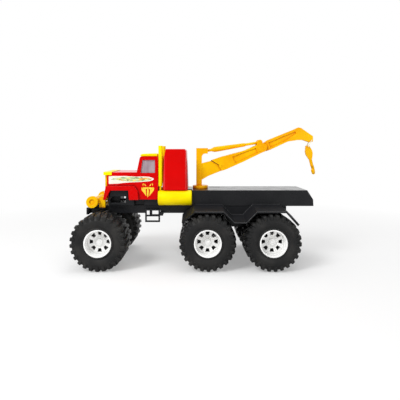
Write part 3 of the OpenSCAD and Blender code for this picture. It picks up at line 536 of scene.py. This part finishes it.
# Each node's rounding, as a width or a function, and its steps
RULES = {
    "cab_shell": (cab_edges, 4), "sleeper_box": (sleeper_edges, 3), "deck": (deck_edges, 3),
    "grille": (grille_edges, 2), "headlights": (0.3, 2), "front_bumper": (0.6, 3),
    "bumper_brackets": (0.9, 3), "roof_visor": (0.9, 3), "crane_post": (0.6, 3),
    "boom": (arm_edges, 3), "jib": (arm_edges, 3), "hook": (0.9, 3), "hook_line": (0.2, 2),
    "chassis_frame": (0.4, 2), "cab_windows": (0.25, 2), "cab_floor": (0.5, 2), "inner_block": (0.6, 2),
    "front_skid_plate": (0.4, 2), "front_axle_carrier": (0.4, 2), "rear_axle_carrier": (0.4, 2),
    "rear_fender_left": (0.45, 2), "rear_fender_right": (0.45, 2),
    "side_step_left": (0.35, 2), "side_step_right": (0.35, 2),
    "exhaust_stack_left": (0.4, 2), "exhaust_stack_right": (0.4, 2),
    "fuel_tank_left": (0.6, 3), "fuel_tank_right": (0.6, 3),
    "cylinder_barrel": (0.4, 2), "cylinder_rod": (0.3, 2),
    "boom_pin": (0.2, 2), "knuckle_pin": (0.2, 2), "cylinder_pin": (0.2, 2), "rod_pin": (0.2, 2),
    "front_axle": (0.2, 2), "middle_axle": (0.2, 2), "rear_axle": (0.2, 2),
}
for node, (rule, segments) in RULES.items():
    moulded(node, rule, segments)


def second_finish(node, material, chosen):
    """Gives a node's chosen faces a second material."""
    mesh = bpy.data.objects[node + "_moulded"].data
    mesh.materials.append(material)
    for polygon in mesh.polygons:
        if chosen(polygon):
            polygon.material_index = 1


def on_deck_top(face):
    return face.normal.z > 0.9 and face.center.z > (DECK_TOP - 2) * MM


def corner_or_top(face):
    return face.use_smooth and abs(face.normal.x) < 0.97 or face.normal.z > 0.7


# The deck's bare top is polished, so it mirrors the sky at a low angle, and its black is a shade lighter
# than the sides': painted sheen
POLISHED_SHEEN_TOP = dusty(
    "deck_moulding", (0.010, 0.0105, 0.012), (0.02, 0.02, 0.022), 0.2, 0.04, 900, 0.01, specular=0.8)
second_finish("deck", POLISHED_SHEEN_TOP, on_deck_top)
# The cab's and the sleeper's tops and rounded corners take the glossier, lighter red: painted highlight.
for node in ("cab_shell", "sleeper_box"):
    second_finish(node, M["red_gloss"], corner_or_top)

# ---------- black liners inside the wheel arches ----------

LINER_REACH = 22.0, 31.0


def arch_liner(sign):
    """The black inside of a wheel arch: a lip under the arch, panels before and behind it, and a sill."""
    f, r, top, low = HOOD_FRONT - 0.2, HOOD_FRONT + 35.0, ARCH_TOP - 0.3, CAB_BOTTOM - 10.0
    shelf = CAB_BOTTOM + 4.7
    outlines = (
        [(f + 3.4, shelf), (f + 6.6, top), (r - 1.5, top), (r - 0.6, shelf)],
        [
            (f + 0.6, CAB_BOTTOM), (f + 3.4, shelf), (f + 10, shelf), (f + 4.8, CAB_BOTTOM), (f + 6.6, low),
            (f + 2.6, low)
        ],
        [
            (r - 4.6, low), (r - 4.6, shelf), (r - 0.6, shelf), (r - 0.4, CAB_BOTTOM - 0.2),
            (r + 9, CAB_BOTTOM - 0.2), (r + 9, low)
        ],
        [(f + 6.6, low), (f + 6.6, low + 4.4), (r - 4.6, low + 4.4), (r - 4.6, low)],
    )
    for name, outline in zip(("top", "front", "rear", "sill"), outlines):
        side_slab(f"arch_{name}_liner", outline, sign, LINER_REACH, "truck", 0.3)


for sign in SIDES:
    arch_liner(sign)

# ---------- rolled edges of the rear fenders, in a lighter black that paints their highlight ---

FENDER_SLOPE = math.radians(7)  # how the fenders' tops fall towards their outer edges
FENDER_DIP = 16.4  # how far a fender drops between its two wheels
# A lighter black for the fenders' rolled edges: painted highlight.
EDGE_HIGHLIGHT = dusty(
    "edge_highlight_moulding", (0.035, 0.036, 0.038), (0.06, 0.06, 0.062), 0.25, 0.05, 1300, 0.04, specular=0.4)


def fender_bead(sign):
    """Two thin rolled edges that follow a rear fender: at the deck's side and along its outer edge. Their
    lighter black is a painted highlight.
    """
    low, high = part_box("rear_fender_left")
    middle, rear = (AXLES["middle"].y - S0) / MM, (AXLES["rear"].y - S0) / MM
    between = (middle + rear) / 2
    fall = (high.x / MM - DECK_HALF_W) * math.tan(FENDER_SLOPE) - 0.2
    beads = ("inner", low.x / MM + 2.4, 0.5, 0.2), ("outer", high.x / MM - 0.3, 0.45, fall)
    for name, x, r, drop in beads:
        hump, dip = high.z / MM - drop, high.z / MM - drop - FENDER_DIP
        line = [
            (middle - 20, hump), (middle + 24.8, hump), (between - 9, dip), (between + 9, dip),
            (rear - 24.4, hump), (rear + 20, hump)
        ]
        outline = [(s, z + r) for s, z in line] + [(s, z - r) for s, z in reversed(line)]
        side_slab("fender_edge_" + name, outline, sign, (x - r, x + r), "truck", 0.25, [EDGE_HIGHLIGHT])


for sign in SIDES:
    fender_bead(sign)

# ---------- a black strip for the shade in the joint between the crane's wedge and the boom: painted shade ---

JOINT_SHADE_REACH = 3.9, 4.45


def joint_shade_strip(sign):
    """A thin black strip on the side of the crane's wedge, along the boom's root, where the joint lies in
    shade: painted shade.
    """
    pin = mid("boom_pin")
    s, z = (pin.y - S0) / MM, pin.z / MM
    outline = [
        (s - 17.6, z + 10.2), (s - 5.4, z + 2.9), (s - 4.6, z + 1.4), (s - 5.6, z + 1.7), (s - 18.4, z + 9.2)
    ]
    side_slab("boom_joint_line", outline, sign, JOINT_SHADE_REACH, "crane")


for sign in SIDES:
    joint_shade_strip(sign)

# ---------- stickers ----------


def paper(name, colour, other):
    """Printed film: two close inks in fine streaks under a thin gloss."""
    material, nodes, links, shader = nodes_of(name)
    coord = nodes.new("ShaderNodeTexCoord")
    streak = ramp(nodes, links, noise(nodes, links, coord, 260, 4, (1, 0.35, 2.2)), 0.0, 1.0, 0.4, 0.6)
    finish(nodes, links, shader, coord, mix(nodes, links, streak, colour, other), 0.3, 0.05, 1500, 0.04)
    return material


WHITE, GREEN, GOLD, ORANGE, YELLOW, OLIVE = range(6)  # places in INKS
INKS = [
    paper("film_white", (0.86, 0.86, 0.80), (0.80, 0.84, 0.70)),
    paper("film_green", (0.46, 0.60, 0.30), (0.66, 0.76, 0.44)),
    paper("film_gold", (0.93, 0.70, 0.12), (0.90, 0.80, 0.34)),
    paper("film_orange", (0.86, 0.30, 0.04), (0.92, 0.46, 0.08)),
    paper("film_yellow", (0.96, 0.70, 0.03), (0.96, 0.62, 0.02)),
    paper("film_olive", (0.20, 0.28, 0.10), (0.36, 0.44, 0.20)),
]
FILM_GAP, FILM_STEP = 0.03, 0.012  # from the cab's side to the first layer, and from one layer to the next
LEAF_STEPS = 9


def leaf(centre, length, width, angle, bend=0.0):
    """Outline of a pointed leaf, bent sideways by a share of its length."""
    c, s = math.cos(math.radians(angle)), math.sin(math.radians(angle))
    upper, lower = [], []
    for k in range(LEAF_STEPS + 1):
        t = k / LEAF_STEPS
        along, mid_line = (t - 0.5) * length, bend * length * math.sin(math.pi * t)
        half = width / 2 * math.sin(math.pi * t) ** 0.8
        for row, aside in ((upper, mid_line + half), (lower, mid_line - half)):
            row.append((centre[0] + along * c - aside * s, centre[1] + along * s + aside * c))
    return upper + list(reversed(lower))[1:-1]


def sticker(name, layers, sign):
    """Thin printed shapes just off the cab's side. A layer is its depth, its ink and its outline."""
    bm = bmesh.new()
    for depth, ink, outline in layers:
        x = sign * (CAB_W + FILM_GAP + FILM_STEP * depth)
        face = bm.faces.new([bm.verts.new(place(x, s, z)) for s, z in outline])
        face.material_index = ink
        if face.normal.x * sign < 0:
            face.normal_flip()
    bmesh.ops.triangulate(bm, faces=bm.faces)
    for face in bm.faces:
        face.normal_update()
        if face.normal.x * sign < 0:
            face.normal_flip()
    piece(name, from_bm(bm, name), "truck", "red_plastic", materials=INKS)


def hood_layers():
    """A long pale lozenge with a mottled green and gold middle."""
    h = HOOD_FRONT
    base = [
        (h + 2.8, 141.4), (h + 10, 142.0), (h + 30, 142.0), (h + 48, 141.0), (h + 60, 141.3),
        (h + 68, 140.8), (h + 74, 139.2), (h + 77, 137.2), (h + 74.5, 134.9), (h + 68, 133.4),
        (h + 56, 132.5), (h + 42, 131.8), (h + 30, 131.0), (h + 18, 129.6), (h + 9, 129.2), (h + 3.0, 129.0),
    ]
    layers = [(0, WHITE, base), (1, GREEN, leaf((h + 41, 136.8), 64, 7.6, -1.5))]
    draw = random.Random(11)
    flecks = 48
    for k in range(flecks):
        spread = 3.0 * math.sin(math.pi * (k + 4) / (flecks + 8))
        warm = draw.random() < (0.2 if k < flecks / 2 else 0.6)
        ink = draw.choice((GOLD, ORANGE) if warm else (GREEN, OLIVE, OLIVE, OLIVE))
        where = (h + 11 + 1.28 * k, 136.9 + draw.uniform(-spread, spread))
        length, width, angle = draw.uniform(4, 10), draw.uniform(1.0, 2.2), draw.uniform(-25, 25)
        layers.append((2 + k % 4, ink, leaf(where, length, width, angle, 0.08)))
    return layers


def door_layers():
    """A plain fan of leaves, with a band across it and two pairs of small curved ones above."""
    s, z = HOOD_FRONT + 66.8, 118.4
    layers = [(13, YELLOW, leaf((s, z - 2.6), 18, 3.0, 90))]
    # Each leaf's place from the middle, its length, width and angle
    fan = (
        (3.2, -1.8, 15.0, 2.6, 84), (5.9, 0.0, 12.5, 2.5, 77), (8.1, 1.4, 9.5, 2.0, 70),
        (4.3, 4.3, 8.4, 3.2, -4), (3.9, 9.0, 4.6, 1.5, 56), (7.3, 9.8, 4.4, 1.3, 108),
    )
    for side in (1, -1):
        for out, up, length, width, angle in fan:
            turn = angle if side > 0 else 180 - angle
            outline = leaf((s + side * out, z + up), length, width, turn, 0.10 * -side)
            layers.append((len(layers) - 1, YELLOW, outline))
    return layers


for sign, side in SIDES.items():
    sticker("hood_sticker_" + side, hood_layers(), sign)
    sticker("door_sticker_" + side, door_layers(), sign)

# ---------- stage, lights and camera ----------


def floor():
    """A pale floor that keeps the shadow near the truck and fades to white for the camera."""
    bm = bmesh.new()
    bmesh.ops.create_circle(bm, cap_ends=True, radius=6, segments=64)
    obj = bpy.data.objects.new("floor", from_bm(bm, "floor"))
    bpy.context.scene.collection.objects.link(obj)
    material, nodes, links, shader = nodes_of("floor_paper")
    shader.inputs["Base Color"].default_value = (0.9, 0.9, 0.9, 1)
    shader.inputs["Roughness"].default_value = 0.9
    shader.inputs["Specular IOR Level"].default_value = 0.1
    obj.data.materials.append(material)
    path = nodes.new("ShaderNodeLightPath")
    coord = nodes.new("ShaderNodeTexCoord")
    length = nodes.new("ShaderNodeVectorMath")
    length.operation = "LENGTH"
    links.new(coord.outputs["Object"], length.inputs[0])
    far = ramp(nodes, links, length.outputs["Value"], 0.3, 1.0, 0.15, 0.75)
    glow = nodes.new("ShaderNodeEmission")
    glow.inputs["Color"].default_value = (1, 1, 1, 1)
    blend = nodes.new("ShaderNodeMixShader")
    both = nodes.new("ShaderNodeMath")
    both.operation = "MULTIPLY"
    links.new(far, both.inputs[0])
    links.new(path.outputs["Is Camera Ray"], both.inputs[1])
    links.new(both.outputs[0], blend.inputs["Fac"])
    links.new(shader.outputs[0], blend.inputs[1])
    links.new(glow.outputs[0], blend.inputs[2])
    links.new(blend.outputs[0], nodes["Material Output"].inputs["Surface"])


def lamp(name, spot, target, size, power):
    """A square soft lamp at spot, turned to target, in metres and watts."""
    data = bpy.data.lights.new(name, "AREA")
    data.shape = "RECTANGLE"
    data.size = data.size_y = size
    data.energy = power
    obj = bpy.data.objects.new(name, data)
    bpy.context.scene.collection.objects.link(obj)
    obj.location = spot
    obj.rotation_euler = (Vector(target) - Vector(spot)).to_track_quat("-Z", "Y").to_euler()


SKY_LIGHT = 0.42  # the world's strength on the object


def world():
    """Plain light on the object. The camera, mirrors and glass see white."""
    scene = bpy.context.scene
    scene.world = bpy.data.worlds.new("studio")
    scene.world.use_nodes = True
    nodes, links = scene.world.node_tree.nodes, scene.world.node_tree.links
    back = nodes["Background"]
    back.inputs["Color"].default_value = (1, 1, 1, 1)
    path = nodes.new("ShaderNodeLightPath")
    seen = nodes.new("ShaderNodeMath")
    seen.operation = "MAXIMUM"
    links.new(path.outputs["Is Camera Ray"], seen.inputs[0])
    links.new(path.outputs["Is Transmission Ray"], seen.inputs[1])
    mirrored = nodes.new("ShaderNodeMath")
    mirrored.operation = "MAXIMUM"
    links.new(seen.outputs[0], mirrored.inputs[0])
    links.new(path.outputs["Is Glossy Ray"], mirrored.inputs[1])
    strength = ramp(nodes, links, mirrored.outputs[0], SKY_LIGHT, 1.0, 0.0, 1.0)
    links.new(strength, back.inputs["Strength"])


floor()
world()
lamp("key", (0.85, -0.75, 0.95), (0, 0, 0.08), 0.5, 12.5)
lamp("fill", (1.2, 0.8, 0.4), (0, 0, 0.1), 0.8, 3.0)
lamp("top", (-0.1, 0.1, 1.3), (0, 0, 0.1), 1.0, 6.0)

CAMERA_OUT, CAMERA_STATION, CAMERA_UP = 632.5, 146.7, 184.5
camera_data = bpy.data.cameras.new("camera")
camera = bpy.data.objects.new("camera", camera_data)
bpy.context.scene.collection.objects.link(camera)
camera.location = place(CAMERA_OUT, CAMERA_STATION, CAMERA_UP)
camera.rotation_euler = (math.radians(90), 0, math.radians(90))
camera_data.lens = 33.03
camera_data.sensor_width = 36
camera_data.shift_x = 0.0125
camera_data.shift_y = -0.125
bpy.context.scene.camera = camera
bpy.context.scene.view_settings.view_transform = "Standard"
